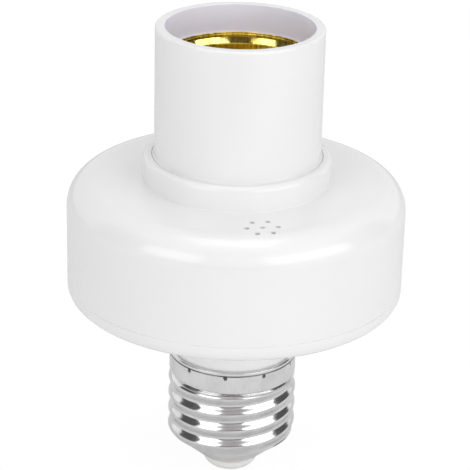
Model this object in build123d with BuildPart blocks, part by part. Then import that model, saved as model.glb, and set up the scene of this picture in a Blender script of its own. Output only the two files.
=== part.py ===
from build123d import *
from math import asin, cos, degrees, pi, radians, sin, tan
import os

os.makedirs("parts", exist_ok=True)

# A lamp holder that screws into a lamp socket and carries a lamp of the same cap size.
# Millimetres. Z is up along the axis, the origin is the lowest point of the centre contact,
# and the seven sound holes are near the front, which is -Y.

# Standard knuckle thread of the cap and the socket
THREAD_PITCH = 3.629
CAP_CREST_RADIUS = 13.1
CAP_ROOT_RADIUS = 12.2
SOCKET_ROOT_RADIUS = 13.3
SOCKET_THREAD_DEPTH = 0.9
RIDGE_OVERLAP = 0.15
THREAD_FADE = 0.9

# Screw cap
CAP_WALL = 0.3
SKIRT_REACH = 0.65
CONTACT_DROP = 1.2
TIP_RADIUS = 5.65
TIP_LENGTH = 2.76
TIP_ROUNDING = 2.6
DOME_RADIUS = 1.2
DOME_SLOPE = 45.0
CAP_THREAD_LENGTH = 11.85
SKIRT_STEP = 0.65
SKIRT_LENGTH = 3.9
LIP_HEIGHT = 0.85
CAP_THREAD_PHASE = 53.0
PUNCH_COUNT = 10
PUNCH_RADIUS = 0.5
PUNCH_DEPTH = 0.2
PUNCH_DROP = 0.35
PUNCH_PHASE = -96.0
CAP_CONTACT_RADIUS = 3.0
RIVET_SHANK_RADIUS = 2.0
RIVET_FLARE_RADIUS = 2.8
RIVET_FLARE_HEIGHT = 0.6
TIP_FLOOR = 4.2

# Housings
NECK_RADIUS = 12.2
NECK_LENGTH = 12.2
NECK_BORE_RADIUS = 9.8
NECK_FILLET = 1.2
DRUM_RADIUS = 33.4
DISH_HEIGHT = 3.5
DISH_ROUNDING = 2.65
DISH_BULGE = 0.15
SEAM_CHAMFER = 0.12
BELL_HEIGHT = 21.0
SHOULDER_RADIUS = 5.6
HOUSING_WALL = 2.0
TONGUE_WALL = 1.1
TONGUE_HEIGHT = 1.6
COLLAR_WALL = 1.75
COLLAR_HEIGHT = 4.95
COLLAR_ROUNDING = 1.0
COLLAR_FOOT_FILLET = 0.15

# Sound holes and the sounder under them
SOUND_INSET = 7.7
SOUND_ANGLE = -78.8
SOUND_HOLE_RADIUS = 0.5
SOUND_RING_RADIUS = 2.98
SOUND_RING_COUNT = 6
SOUND_RING_TURN = 30.0
SOUNDER_RADIUS = 4.1
SOUNDER_HEIGHT = 5.5
SOUNDER_PORT_RADIUS = 1.1
SOUNDER_PORT_DEPTH = 1.8
SOUNDER_EDGE = 0.5
SOUND_DUCT_WALL = 1.2

# Tube and lamp socket
TUBE_WALL = 1.87
TUBE_HEIGHT = 25.95
TUBE_SIDE_GAP = 0.3
MOUTH_DEPTH = 5.6
RIM_ROUNDING = 0.5
MOUTH_EDGE_ROUNDING = 0.15
LIP_SEAT_WIDTH = 0.35
LIP_POCKET_STEP = 0.2
TUBE_FOOT_STEP = 0.38
TUBE_FOOT_FLARE = 0.55
TUBE_FLANGE_REACH = 1.9
TUBE_FLANGE_THICKNESS = 2.0
TUBE_END_DROP = 2.3
LEDGE_WIDTH = 1.2
LEDGE_THICKNESS = 1.6
KEY_WIDTH = 2.0
SOCKET_WALL = 0.3
SOCKET_LIP_THICKNESS = 0.4
SOCKET_FLANGE_THICKNESS = 0.4
SOCKET_THREAD_PHASE = 40.0
SOCKET_THREAD_TOP_GAP = 1.6
SOCKET_THREAD_LENGTH = 21.0
BASE_THICKNESS = 3.5
BASE_RIB_HEIGHT = 1.8
BASE_RIB_THICKNESS = 1.2
BASE_RIB_LENGTH = 9.0

# Sprung centre contact of the lamp socket
LEAF_THICKNESS = 0.35
LEAF_WIDTH = 6.0
LEAF_FOOT_START = -7.2
LEAF_BEND = -3.4
LEAF_CROWN = 1.2
LEAF_RISE = 3.4
LEAF_TIP_REACH = 2.6
LEAF_TIP_DROP = 1.4
LEAF_BEND_RADIUS = 1.0
LEAF_CROWN_RADIUS = 1.6
SMALL_RIVET_RADIUS = 1.0
SMALL_RIVET_HEAD_RADIUS = 1.7
SMALL_RIVET_HEAD_HEIGHT = 0.6
RIVET_HEAD_ROUNDING = 0.36
RIVET_TAIL_CHAMFER = 0.24
SHELL_RIVET_INSET = 2.6
CONTACT_RIVET_POSITION = -5.3
TAG_WIDTH = 3.4
TAG_LENGTH = 6.6
TAG_THICKNESS = 0.3

# Circuit board and what holds it
BOARD_EDGE_GAP = 0.2
BOARD_THICKNESS = 1.6
BOARD_HOLE_RADIUS = 5.2
BOARD_LIFT = 1.8
POST_COUNT = 3
POST_INSET = 3.5
POST_PHASE = 90.0
POST_RADIUS = 3.0
SCREW_RADIUS = 1.0
SCREW_HEAD_RADIUS = 2.0
SCREW_HEAD_HEIGHT = 1.5
SCREW_HEAD_ROUNDING = 0.6
SCREW_REACH = 10.0
SCREW_RECESS_SPAN = 2.2
SCREW_RECESS_WIDTH = 0.6
SCREW_RECESS_DEPTH = 0.8

# Parts on the board: each size is its width round the axis, its depth away from it and its height.
# Each place is in shares of the board's radius, either a radius with an angle or X with Y.
RELAY_SIZE = (15.5, 10.5, 11.8)
RELAY_PLACE = (0.749, 180.0)
FILM_SIZE = (12.5, 6.0, 11.0)
FILM_PLACE = (0.74, 45.0)
BODY_ROUNDING = 0.6
SMOOTHING_RADIUS = 4.0
SMOOTHING_HEIGHT = 11.5
SMOOTHING_PLACE = (0.736, 128.0)
SMOOTHING_GROOVE_HEIGHT = 1.4
SMOOTHING_GROOVE = 0.35
VARISTOR_RADIUS = 3.8
VARISTOR_THICKNESS = 3.4
VARISTOR_ROUNDING = 1.0
VARISTOR_PLACE = (0.776, 10.0)
LEG_LENGTH = 1.2
LEG_RADIUS = 0.35
LEG_BEND = 0.5
RECTIFIER_SIZE = (8.4, 6.4, 3.2)
RECTIFIER_PLACE = (0.351, -0.334)
DECODER_SIZE = (9.6, 6.2, 3.3)
DECODER_PLACE = (-0.227, -0.43)
DECODER_NOTCH = 0.9
CHIP_LEG_PITCH = 2.54
CHIP_LEG_COUNT = 4
CHIP_LEG_WIDTH = 0.5
CHIP_LEG_REACH = 0.8
CHIP_LEG_HEIGHT = 1.6
FUSE_RADIUS = 1.6
FUSE_LENGTH = 7.0
FUSE_PLACE = (0.589, 0.0)
RESISTOR_RADIUS = 1.1
RESISTOR_LENGTH = 6.0
RESISTOR_PLACES = ((0.298, 0.214), (0.385, 0.214), (0.472, 0.214))
RESISTOR_WAIST = 0.2
RESISTOR_ROUNDING = 0.44
TRANSISTOR_RADIUS = 2.3
TRANSISTOR_HEIGHT = 4.6
TRANSISTOR_FLAT = 1.2
REGULATOR_PLACE = (-0.134, 0.418)
RELAY_TRANSISTOR_PLACE = (-0.351, 0.308)
RELAY_TRANSISTOR_TURN = 50.0
CRYSTAL_SIZE = (3.6, 9.6, 3.4)
CRYSTAL_PLACE = (-0.428, -0.017)
RECEIVER_SIZE = (17.0, 1.0, 9.5)
RECEIVER_PLACE = (-0.351, -0.682)
RECEIVER_CHIP_SIZE = (8.6, 1.5, 3.9)
RECEIVER_CHIP_LIFT = 2.8
ANTENNA_RADIUS = 0.6
ANTENNA_FOOT = (-0.585, -0.756)
ANTENNA_HEIGHT = 9.9
ANTENNA_REACH = 11.5
ANTENNA_BEND = 3.0

# Leads
LEAD_RADIUS = 0.9
LEAD_BEND = 2.6
LEAD_PORT_HEIGHT = 20.0
LEAD_LOOP_HEIGHT = 4.0
LEAD_LANDING = 7.4
NEUTRAL_LEAD_OFFSET = 3.2
SWITCHED_LEAD_FOOT = -6.4
RETURN_LEAD_FOOT = 3.4

# Clearances
FIT_GAP = 0.1
HOLE_GAP = 0.1
SLIDE_GAP = 0.2

# Radii that follow from the socket's thread, outwards
socket_crest_radius = SOCKET_ROOT_RADIUS - SOCKET_THREAD_DEPTH
tube_bore_radius = SOCKET_ROOT_RADIUS + SOCKET_WALL + TUBE_SIDE_GAP
lip_pocket_radius = tube_bore_radius + LIP_SEAT_WIDTH
mouth_radius = lip_pocket_radius + LIP_POCKET_STEP
tube_radius = mouth_radius + TUBE_WALL
tube_foot_radius = tube_radius + TUBE_FOOT_STEP
tube_flange_radius = tube_foot_radius + TUBE_FLANGE_REACH
collar_radius = tube_foot_radius + FIT_GAP + COLLAR_WALL
ledge_radius = tube_bore_radius - LEDGE_WIDTH
shell_rivet_y = SOCKET_ROOT_RADIUS - SHELL_RIVET_INSET
socket_flange_radius = shell_rivet_y - SMALL_RIVET_HEAD_RADIUS

# Radii that follow from the cap and the neck
skirt_radius = NECK_RADIUS + SKIRT_REACH
plug_radius = CAP_ROOT_RADIUS - CAP_WALL - FIT_GAP

# Radii that follow from the drum, inwards
tongue_radius = DRUM_RADIUS - HOUSING_WALL - SLIDE_GAP
dish_inner_radius = tongue_radius - TONGUE_WALL
board_radius = dish_inner_radius - BOARD_EDGE_GAP
post_circle_radius = board_radius - POST_INSET
sound_radius = DRUM_RADIUS - SOUND_INSET

# Heights along the axis, from the contact up
tip_z = CONTACT_DROP
shell_end_z = tip_z + TIP_LENGTH
shell_hole_radius = TIP_RADIUS + FIT_GAP
dome_turn = 90.0 - DOME_SLOPE
dome_centre_r = CAP_ROOT_RADIUS - DOME_RADIUS
dome_foot_r = dome_centre_r + DOME_RADIUS * cos(radians(dome_turn))
dome_foot_z = shell_end_z + (dome_foot_r - shell_hole_radius) * tan(radians(DOME_SLOPE))
thread_start_z = dome_foot_z + DOME_RADIUS * sin(radians(dome_turn))
step_z = thread_start_z + CAP_THREAD_LENGTH
skirt_z = step_z + SKIRT_STEP
lip_z = skirt_z + SKIRT_LENGTH
shell_top_z = lip_z + LIP_HEIGHT
drum_bottom_z = shell_top_z + NECK_LENGTH
seam_z = drum_bottom_z + DISH_HEIGHT
drum_top_z = seam_z + BELL_HEIGHT
collar_top_z = drum_top_z + COLLAR_HEIGHT
rim_z = collar_top_z + TUBE_HEIGHT
lip_seat_z = rim_z - MOUTH_DEPTH - SOCKET_LIP_THICKNESS
flange_z = drum_top_z - HOUSING_WALL - TUBE_FLANGE_THICKNESS
tube_end_z = flange_z - TUBE_END_DROP
base_z = tube_end_z + LEDGE_THICKNESS
base_top_z = base_z + BASE_THICKNESS
dish_floor_z = drum_bottom_z + HOUSING_WALL
board_z = dish_floor_z + BOARD_LIFT
board_top_z = board_z + BOARD_THICKNESS
screw_seat_z = board_z - BOARD_LIFT
socket_thread_z = lip_seat_z - SOCKET_THREAD_TOP_GAP - SOCKET_THREAD_LENGTH
duct_z = board_top_z + SOUNDER_HEIGHT + SLIDE_GAP
leaf_z = base_top_z + LEAF_THICKNESS / 2
rib_offset = LEAF_WIDTH / 2 + SLIDE_GAP + BASE_RIB_THICKNESS

# Plug of the lower housing inside the cap
plug_dome_radius = plug_radius - dome_centre_r
plug_foot_r = dome_centre_r + plug_dome_radius * cos(radians(dome_turn))
plug_dome_z = thread_start_z - plug_dome_radius * sin(radians(dome_turn))
plug_foot_z = plug_dome_z - (plug_foot_r - TIP_RADIUS) * tan(radians(DOME_SLOPE))


def polar(radius, angle):
    """Place on a circle round the axis, angle in degrees from +X."""
    return radius * cos(radians(angle)), radius * sin(radians(angle))


def disc(radius, z):
    """Round sketch on a level plane, centred on the axis."""
    with BuildSketch(Plane.XY.offset(z)) as sketch:
        Circle(radius)
    return sketch.sketch


def thread_ridge(radius, height, depth, start_z, phase, inward=False):
    """Knuckle ridge wound round the axis, with flanks that follow a cosine."""
    side = -1.0 if inward else 1.0
    crest_steps = (-0.42, -0.28, -0.14, 0.0, 0.14, 0.28, 0.42)
    outline = []
    for step in crest_steps:
        outline.append((side * depth * 0.5 * (1.0 + cos(2.0 * pi * step)), step * THREAD_PITCH))
    root = -side * RIDGE_OVERLAP
    outline.append((root, crest_steps[-1] * THREAD_PITCH))
    outline.append((root, crest_steps[0] * THREAD_PITCH))
    with BuildPart() as ridge:
        with BuildLine() as path:
            Helix(THREAD_PITCH, height, radius)
        with BuildSketch(Plane(origin=(radius, 0, 0), x_dir=(1, 0, 0), z_dir=(0, -1, 0))):
            with BuildLine():
                Polyline(*outline, close=True)
            make_face()
        sweep(path=path.wires()[0], is_frenet=True)
    return ridge.part.moved(Location((0, 0, start_z), (0, 0, phase)))


def cap_section(inset):
    """Half section of the screw cap without its thread, set in from the outside."""
    dome_radius = DOME_RADIUS - inset
    foot_r = dome_centre_r + dome_radius * cos(radians(dome_turn))
    foot_z = thread_start_z - dome_radius * sin(radians(dome_turn))
    root = CAP_ROOT_RADIUS - inset
    skirt = skirt_radius - inset
    hole = NECK_RADIUS + FIT_GAP
    lip = LIP_HEIGHT - inset
    with BuildSketch(Plane.XZ) as section:
        with BuildLine():
            Line((0, foot_z - foot_r * tan(radians(DOME_SLOPE))), (foot_r, foot_z))
            CenterArc((dome_centre_r, thread_start_z), dome_radius, -dome_turn, dome_turn)
            Polyline((root, thread_start_z), (root, step_z), (skirt, skirt_z), (skirt, lip_z))
            ThreePointArc(
                (skirt, lip_z),
                (hole + (skirt - hole) * cos(pi / 4), lip_z + lip * sin(pi / 4)),
                (hole, lip_z + lip),
            )
            Polyline(
                (hole, lip_z + lip),
                (0, lip_z + lip),
                (0, foot_z - foot_r * tan(radians(DOME_SLOPE))),
            )
        make_face()
    return section.sketch


def bent_lead(points, bend, radius):
    """Insulated wire along straight runs joined by tangent arcs."""
    with BuildPart() as lead:
        with BuildLine() as route:
            FilletPolyline(*points, radius=bend)
        with BuildSketch(Plane(origin=route.line @ 0, z_dir=route.line % 0)):
            Circle(radius)
        sweep(path=route.line)
    return lead.part


def rivet(height, shank_radius, head_radius, head_height):
    """Round shank from z 0 up, with a low head over it and a clenched tail under it."""
    with BuildPart() as body:
        with BuildSketch():
            Circle(shank_radius)
        extrude(amount=height)
        with BuildSketch(Plane.XY.offset(height)):
            Circle(head_radius)
        extrude(amount=head_height)
        fillet(body.edges().group_by(Axis.Z)[-1], radius=RIVET_HEAD_ROUNDING)
        with BuildSketch():
            Circle(head_radius)
        extrude(amount=-head_height)
        chamfer(body.edges().group_by(Axis.Z)[0], length=RIVET_TAIL_CHAMFER)
    return body.part


def boxed_part(size, rounding):
    """Moulded block that stands on z 0, with rounded upright and top edges."""
    with BuildPart() as block:
        with BuildSketch():
            Rectangle(size[0], size[1])
        extrude(amount=size[2])
        fillet(block.edges().filter_by(Axis.Z) + block.edges().group_by(Axis.Z)[-1], radius=rounding)
    return block.part


def on_board(shape, place, turn=0.0):
    """Shape moved to its place on the board's top face, in shares of the board's radius."""
    return shape.moved(
        Location((place[0] * board_radius, place[1] * board_radius, board_top_z), (0, 0, turn))
    )


def facing_axis(shape, place):
    """Shape at a share of the board's radius and an angle, with its depth along the radius."""
    return on_board(shape, polar(*place), place[1] - 90.0)


def three_legged(height, radius, flat):
    """Small transistor case with a flat face, on three legs."""
    with BuildPart() as case:
        with BuildSketch(Plane.XY.offset(LEG_LENGTH)):
            Circle(radius)
            with Locations((0, -radius)):
                Rectangle(2 * radius, 2 * (radius - flat), mode=Mode.SUBTRACT)
        extrude(amount=height)
        with BuildSketch():
            with Locations((-CHIP_LEG_PITCH / 2, 0), (0, 0), (CHIP_LEG_PITCH / 2, 0)):
                Circle(LEG_RADIUS)
        extrude(amount=LEG_LENGTH)
    return case.part


def lying_resistor(radius, length, waist):
    """Body along Y with thicker ends, on two bent legs."""
    axis_z = radius + SLIDE_GAP
    leg_y = length / 2 + LEG_LENGTH
    with BuildPart() as resistor:
        with BuildSketch(Plane.XZ.offset(-length / 2)):
            with Locations((0, axis_z)):
                Circle(radius - waist)
        extrude(amount=length)
        for end in (-length / 2 + radius, length / 2):
            with BuildSketch(Plane.XZ.offset(-end)):
                with Locations((0, axis_z)):
                    Circle(radius)
            extrude(amount=radius)
        fillet(
            resistor.edges().filter_by(GeomType.CIRCLE).group_by(Axis.Y)[0]
            + resistor.edges().filter_by(GeomType.CIRCLE).group_by(Axis.Y)[-1],
            radius=RESISTOR_ROUNDING,
        )
        with BuildLine() as leg:
            FilletPolyline(
                (0, -leg_y, 0),
                (0, -leg_y, axis_z),
                (0, leg_y, axis_z),
                (0, leg_y, 0),
                radius=LEG_BEND,
            )
        with BuildSketch(Plane(origin=leg.line @ 0, z_dir=leg.line % 0)):
            Circle(LEG_RADIUS)
        sweep(path=leg.line)
    return resistor.part


# Threaded length of the cap, faded into the round form at both ends
with BuildPart() as cap_thread:
    extrude(
        disc(CAP_ROOT_RADIUS, thread_start_z - THREAD_PITCH),
        amount=CAP_THREAD_LENGTH + 2 * THREAD_PITCH,
    )
    add(
        thread_ridge(
            CAP_ROOT_RADIUS,
            CAP_THREAD_LENGTH + THREAD_PITCH,
            CAP_CREST_RADIUS - CAP_ROOT_RADIUS,
            thread_start_z - THREAD_PITCH / 2,
            CAP_THREAD_PHASE,
        )
    )
    with BuildSketch(Plane.XZ):
        with BuildLine():
            Polyline(
                (0, thread_start_z),
                (CAP_ROOT_RADIUS, thread_start_z),
                (CAP_CREST_RADIUS, thread_start_z + THREAD_FADE),
                (CAP_CREST_RADIUS, step_z - THREAD_FADE),
                (CAP_ROOT_RADIUS, step_z),
                (0, step_z),
                close=True,
            )
        make_face()
    revolve(axis=Axis.Z, mode=Mode.INTERSECT)

# Screw cap shell, rolled from one sheet, with a dome, a thread, a skirt and a turned-in lip
with BuildPart() as cap_shell:
    add(cap_section(0))
    revolve(axis=Axis.Z)
    add(cap_thread.part)
    add(cap_section(CAP_WALL))
    revolve(axis=Axis.Z, mode=Mode.SUBTRACT)
    extrude(
        disc(shell_hole_radius, -shell_hole_radius),
        amount=shell_hole_radius + thread_start_z,
        mode=Mode.SUBTRACT,
    )
    extrude(disc(NECK_RADIUS + FIT_GAP, lip_z), amount=LIP_HEIGHT, mode=Mode.SUBTRACT)
    # Punch marks that fix the sheet to the neck
    with PolarLocations(skirt_radius + PUNCH_RADIUS - PUNCH_DEPTH, PUNCH_COUNT, PUNCH_PHASE):
        with Locations((0, 0, lip_z - PUNCH_DROP)):
            Sphere(PUNCH_RADIUS, mode=Mode.SUBTRACT)
cap_shell.part.label = "cap_shell"
export_step(cap_shell.part, "parts/cap_shell.step")

# Lower housing: dish, neck, the plug inside the cap and its insulating tip
with BuildPart() as lower_housing:
    with BuildSketch(Plane.XZ):
        with BuildLine():
            Polyline(
                (0, tip_z),
                (TIP_RADIUS, tip_z),
                (TIP_RADIUS, plug_foot_z),
                (plug_foot_r, plug_dome_z),
            )
            ThreePointArc(
                (plug_foot_r, plug_dome_z),
                (
                    dome_centre_r + plug_dome_radius * cos(radians(dome_turn / 2)),
                    thread_start_z - plug_dome_radius * sin(radians(dome_turn / 2)),
                ),
                (plug_radius, thread_start_z),
            )
            Polyline(
                (plug_radius, thread_start_z),
                (plug_radius, skirt_z),
                (NECK_RADIUS, skirt_z + SKIRT_STEP),
                (NECK_RADIUS, drum_bottom_z),
            )
            ThreePointArc(
                (NECK_RADIUS, drum_bottom_z),
                ((NECK_RADIUS + DRUM_RADIUS) / 2, drum_bottom_z - DISH_BULGE),
                (DRUM_RADIUS, drum_bottom_z),
            )
            Polyline(
                (DRUM_RADIUS, drum_bottom_z),
                (DRUM_RADIUS, seam_z),
                (0, seam_z),
                (0, tip_z),
            )
        make_face()
    revolve(axis=Axis.Z)
    # Outer edge of the dish, foot of the neck, edge of the tip and edge at the seam
    rings = lower_housing.edges().filter_by(GeomType.CIRCLE)
    tip_edge = rings.group_by(Axis.Z)[0]
    dish_rings = rings.filter_by_position(Axis.Z, drum_bottom_z - FIT_GAP, drum_bottom_z + FIT_GAP)
    neck_edge = dish_rings.sort_by(SortBy.RADIUS)[0]
    dish_edge = dish_rings.sort_by(SortBy.RADIUS)[-1]
    seam_edge = rings.filter_by_position(Axis.Z, seam_z - FIT_GAP, seam_z + FIT_GAP)
    fillet(dish_edge, radius=DISH_ROUNDING)
    fillet(neck_edge, radius=NECK_FILLET)
    fillet(tip_edge, radius=TIP_ROUNDING)
    chamfer(seam_edge, length=SEAM_CHAMFER)
    # Room inside the dish, and the tongue that the upper housing slides over
    extrude(disc(dish_inner_radius, dish_floor_z), amount=DISH_HEIGHT, mode=Mode.SUBTRACT)
    with BuildSketch(Plane.XY.offset(seam_z)):
        Circle(tongue_radius)
        Circle(tongue_radius - TONGUE_WALL, mode=Mode.SUBTRACT)
    extrude(amount=TONGUE_HEIGHT)
    # Posts that carry the board
    with BuildSketch(Plane.XY.offset(dish_floor_z)):
        with PolarLocations(post_circle_radius, POST_COUNT, POST_PHASE):
            Circle(POST_RADIUS)
    extrude(amount=BOARD_LIFT)
    # Passage for the leads, with the plug's inside and a hole for the contact rivet
    with BuildSketch(Plane.XZ):
        with BuildLine():
            Polyline(
                (0, tip_z + TIP_FLOOR),
                (RIVET_FLARE_RADIUS + SLIDE_GAP, tip_z + TIP_FLOOR),
                (NECK_BORE_RADIUS, thread_start_z),
                (NECK_BORE_RADIUS, seam_z),
                (0, seam_z),
                close=True,
            )
        make_face()
    revolve(axis=Axis.Z, mode=Mode.SUBTRACT)
    extrude(disc(RIVET_SHANK_RADIUS + HOLE_GAP, 0), amount=thread_start_z, mode=Mode.SUBTRACT)
    with BuildSketch(Plane.XZ.offset(-plug_radius)):
        with Locations((0, LEAD_PORT_HEIGHT)):
            Circle(LEAD_RADIUS + SLIDE_GAP)
    extrude(amount=plug_radius, mode=Mode.SUBTRACT)
    # Screw holes from below, each with a counterbore
    with PolarLocations(post_circle_radius, POST_COUNT, POST_PHASE):
        with Locations((0, 0, drum_bottom_z - HOUSING_WALL)):
            Cylinder(
                SCREW_HEAD_RADIUS + SLIDE_GAP,
                screw_seat_z - drum_bottom_z + HOUSING_WALL,
                align=(Align.CENTER, Align.CENTER, Align.MIN),
                mode=Mode.SUBTRACT,
            )
            Cylinder(
                SCREW_RADIUS + HOLE_GAP,
                board_z - drum_bottom_z + HOUSING_WALL,
                align=(Align.CENTER, Align.CENTER, Align.MIN),
                mode=Mode.SUBTRACT,
            )
lower_housing.part.label = "lower_housing"
export_step(lower_housing.part, "parts/lower_housing.step")

# Room inside the drum, with the same shoulder as the outside, set in by the wall
with BuildPart() as bell_room:
    extrude(disc(DRUM_RADIUS - HOUSING_WALL, seam_z), amount=BELL_HEIGHT - HOUSING_WALL)
    fillet(bell_room.edges().group_by(Axis.Z)[-1], radius=SHOULDER_RADIUS - HOUSING_WALL)

# Upper housing: drum shell with its shoulder, collar and sound holes
with BuildPart() as upper_housing:
    extrude(disc(DRUM_RADIUS, seam_z), amount=BELL_HEIGHT)
    chamfer(upper_housing.edges().group_by(Axis.Z)[0], length=SEAM_CHAMFER)
    fillet(upper_housing.edges().group_by(Axis.Z)[-1], radius=SHOULDER_RADIUS)
    extrude(disc(collar_radius, drum_top_z), amount=COLLAR_HEIGHT)
    fillet(upper_housing.edges().group_by(Axis.Z)[-1], radius=COLLAR_ROUNDING)
    collar_foot = upper_housing.edges().filter_by(GeomType.CIRCLE).filter_by_position(
        Axis.Z, drum_top_z - 0.01, drum_top_z + 0.01
    )
    fillet(collar_foot.sort_by(SortBy.RADIUS)[0], radius=COLLAR_FOOT_FILLET)
    add(bell_room.part, mode=Mode.SUBTRACT)
    # Screw posts down to the board, and a duct down to the sounder
    with BuildSketch(Plane.XY.offset(board_top_z)):
        with PolarLocations(post_circle_radius, POST_COUNT, POST_PHASE):
            Circle(POST_RADIUS)
    extrude(amount=drum_top_z - HOUSING_WALL - board_top_z)
    with BuildSketch(Plane.XY.offset(duct_z)):
        with Locations(polar(sound_radius, SOUND_ANGLE)):
            Circle(SOUNDER_RADIUS + SOUND_DUCT_WALL)
    extrude(amount=drum_top_z - HOUSING_WALL - duct_z)
    with BuildSketch(Plane.XY.offset(duct_z)):
        with Locations(polar(sound_radius, SOUND_ANGLE)):
            Circle(SOUNDER_RADIUS)
    extrude(amount=drum_top_z - HOUSING_WALL - duct_z, mode=Mode.SUBTRACT)
    # Seven sound holes: one in the middle and six round it
    with BuildSketch(Plane.XY.offset(duct_z)):
        with Locations(polar(sound_radius, SOUND_ANGLE)):
            Circle(SOUND_HOLE_RADIUS)
            with PolarLocations(SOUND_RING_RADIUS, SOUND_RING_COUNT, SOUND_ANGLE + SOUND_RING_TURN):
                Circle(SOUND_HOLE_RADIUS)
    extrude(amount=BELL_HEIGHT, mode=Mode.SUBTRACT)
    # Bore for the tube, with two keys that stop it from turning
    extrude(disc(tube_foot_radius + FIT_GAP, flange_z), amount=BELL_HEIGHT, mode=Mode.SUBTRACT)
    with BuildSketch(Plane.XY.offset(flange_z)):
        with PolarLocations(tube_flange_radius, 2):
            Rectangle(TUBE_FLANGE_THICKNESS, KEY_WIDTH)
    extrude(amount=TUBE_FLANGE_THICKNESS)
    # Pilot holes in the screw posts
    with BuildSketch(Plane.XY.offset(board_top_z)):
        with PolarLocations(post_circle_radius, POST_COUNT, POST_PHASE):
            Circle(SCREW_RADIUS + HOLE_GAP)
    extrude(amount=SCREW_REACH + SLIDE_GAP, mode=Mode.SUBTRACT)
upper_housing.part.label = "upper_housing"
export_step(upper_housing.part, "parts/upper_housing.step")

# Tube that carries the lamp socket, held by a flange under the top of the drum
with BuildPart() as holder_tube:
    with BuildSketch(Plane.XZ):
        with BuildLine():
            Polyline(
                (ledge_radius, tube_end_z),
                (tube_radius, tube_end_z),
                (tube_radius, flange_z),
                (tube_flange_radius, flange_z),
                (tube_flange_radius, flange_z + TUBE_FLANGE_THICKNESS),
                (tube_foot_radius, flange_z + TUBE_FLANGE_THICKNESS),
                (tube_foot_radius, collar_top_z),
            )
            TangentArc(
                (tube_radius, collar_top_z + TUBE_FOOT_FLARE),
                (tube_foot_radius, collar_top_z),
                tangent=(0, -1),
            )
            Polyline(
                (tube_radius, collar_top_z + TUBE_FOOT_FLARE),
                (tube_radius, rim_z),
                (mouth_radius, rim_z),
                (mouth_radius, lip_seat_z + SOCKET_LIP_THICKNESS),
                (lip_pocket_radius, lip_seat_z + SOCKET_LIP_THICKNESS),
                (lip_pocket_radius, lip_seat_z),
                (tube_bore_radius, lip_seat_z),
                (tube_bore_radius, base_z),
                (ledge_radius, base_z),
                (ledge_radius, tube_end_z),
            )
        make_face()
    revolve(axis=Axis.Z)
    # Outer edge of the rim, then the edge of the mouth
    fillet(holder_tube.edges().group_by(Axis.Z)[-1].sort_by(SortBy.RADIUS)[-1], radius=RIM_ROUNDING)
    fillet(holder_tube.edges().group_by(Axis.Z)[-1].sort_by(SortBy.RADIUS)[0], radius=MOUTH_EDGE_ROUNDING)
    # Notches for the two keys
    with BuildSketch(Plane.XY.offset(flange_z)):
        with PolarLocations(tube_flange_radius, 2):
            Rectangle(TUBE_FLANGE_THICKNESS + 2 * FIT_GAP, KEY_WIDTH + 2 * FIT_GAP)
    extrude(amount=TUBE_FLANGE_THICKNESS, mode=Mode.SUBTRACT)
holder_tube.part.label = "holder_tube"
export_step(holder_tube.part, "parts/holder_tube.step")

# Threaded length of the lamp socket, wound on the inside of its wall
with BuildPart() as socket_thread:
    with BuildSketch(Plane.XY.offset(socket_thread_z - THREAD_PITCH)):
        Circle(SOCKET_ROOT_RADIUS + SOCKET_WALL)
        Circle(SOCKET_ROOT_RADIUS, mode=Mode.SUBTRACT)
    extrude(amount=SOCKET_THREAD_LENGTH + 2 * THREAD_PITCH)
    add(
        thread_ridge(
            SOCKET_ROOT_RADIUS,
            SOCKET_THREAD_LENGTH + THREAD_PITCH,
            SOCKET_THREAD_DEPTH,
            socket_thread_z - THREAD_PITCH / 2,
            SOCKET_THREAD_PHASE,
            inward=True,
        )
    )
    with BuildSketch(Plane.XZ):
        with BuildLine():
            Polyline(
                (SOCKET_ROOT_RADIUS + SOCKET_WALL, socket_thread_z),
                (SOCKET_ROOT_RADIUS, socket_thread_z),
                (socket_crest_radius, socket_thread_z + THREAD_FADE),
                (socket_crest_radius, socket_thread_z + SOCKET_THREAD_LENGTH - THREAD_FADE),
                (SOCKET_ROOT_RADIUS, socket_thread_z + SOCKET_THREAD_LENGTH),
                (SOCKET_ROOT_RADIUS + SOCKET_WALL, socket_thread_z + SOCKET_THREAD_LENGTH),
                close=True,
            )
        make_face()
    revolve(axis=Axis.Z, mode=Mode.INTERSECT)

# Brass socket shell: flange on the base, threaded wall and a lip on the seat near the mouth
with BuildPart() as socket_shell:
    with BuildSketch(Plane.XZ):
        with BuildLine():
            Polyline(
                (socket_flange_radius, base_top_z),
                (SOCKET_ROOT_RADIUS + SOCKET_WALL, base_top_z),
                (SOCKET_ROOT_RADIUS + SOCKET_WALL, lip_seat_z),
                (lip_pocket_radius - FIT_GAP, lip_seat_z),
                (lip_pocket_radius - FIT_GAP, lip_seat_z + SOCKET_LIP_THICKNESS),
                (SOCKET_ROOT_RADIUS, lip_seat_z + SOCKET_LIP_THICKNESS),
                (SOCKET_ROOT_RADIUS, base_top_z + SOCKET_FLANGE_THICKNESS),
                (socket_flange_radius, base_top_z + SOCKET_FLANGE_THICKNESS),
                close=True,
            )
        make_face()
    revolve(axis=Axis.Z)
    add(socket_thread.part)
    with BuildSketch(Plane.XY.offset(base_top_z)):
        with Locations((0, shell_rivet_y), (0, -shell_rivet_y)):
            Circle(SMALL_RIVET_RADIUS + HOLE_GAP)
    extrude(amount=SOCKET_FLANGE_THICKNESS, mode=Mode.SUBTRACT)
socket_shell.part.label = "socket_shell"
export_step(socket_shell.part, "parts/socket_shell.step")

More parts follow.
